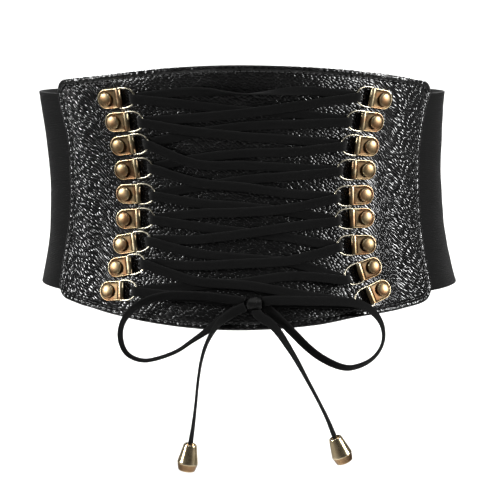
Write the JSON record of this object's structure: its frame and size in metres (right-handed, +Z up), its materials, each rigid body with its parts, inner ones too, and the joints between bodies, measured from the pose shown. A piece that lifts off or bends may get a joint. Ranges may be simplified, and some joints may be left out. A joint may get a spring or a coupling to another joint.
{
  "type": "corset belt",
  "caption": "Wide waist belt with a grained front panel laced across through D-ring hooks, a tied bow with bell cord ends, and an elastic band round the back.",
  "frame": {"origin": "middle of the waist opening, at mid height of the front panel: where a waist holds the belt up", "axes": "+Z up, -Y the laced front, +X to the right as seen from the front"},
  "size_m": [0.2558, 0.2049, 0.2315],
  "materials": {
    "leather": "glossy pebbled grain with a smooth turned edge",
    "elastic": "matte ribbed elastic",
    "cord": "matte faux suede",
    "hook_brass": "antique brass, darkened in the hollows and bright on the edges",
    "ring_wire": "polished pale brass wire",
    "cord_end": "satin pale gold, darker at the lip"
  },
  "bodies": {
    "root": {"front_panel": "leather", "elastic_left": "elastic", "elastic_right": "elastic", "back_clasp": "leather", "hook_plate_l1": "hook_brass", "hook_plate_r1": "hook_brass", "hook_plate_l2": "hook_brass", "hook_plate_r2": "hook_brass", "hook_plate_l3": "hook_brass", "hook_plate_r3": "hook_brass", "hook_plate_l4": "hook_brass", "hook_plate_r4": "hook_brass", "hook_plate_l5": "hook_brass", "hook_plate_r5": "hook_brass", "hook_plate_l6": "hook_brass", "hook_plate_r6": "hook_brass", "hook_plate_l7": "hook_brass", "hook_plate_r7": "hook_brass", "hook_plate_l8": "hook_brass", "hook_plate_r8": "hook_brass", "hook_plate_l9": "hook_brass", "hook_plate_r9": "hook_brass", "hook_ring_l1": "ring_wire", "hook_ring_r1": "ring_wire", "hook_ring_l2": "ring_wire", "hook_ring_r2": "ring_wire", "hook_ring_l3": "ring_wire", "hook_ring_r3": "ring_wire", "hook_ring_l4": "ring_wire", "hook_ring_r4": "ring_wire", "hook_ring_l5": "ring_wire", "hook_ring_r5": "ring_wire", "hook_ring_l6": "ring_wire", "hook_ring_r6": "ring_wire", "hook_ring_l7": "ring_wire", "hook_ring_r7": "ring_wire", "hook_ring_l8": "ring_wire", "hook_ring_r8": "ring_wire", "hook_ring_l9": "ring_wire", "hook_ring_r9": "ring_wire", "lacing": "cord", "bow_loop_left": "cord", "bow_loop_right": "cord", "lace_tail_left": "cord", "lace_tail_right": "cord", "bow_knot": "cord", "cord_end_left": "cord_end", "cord_end_right": "cord_end"}
  },
  "joints": []
}
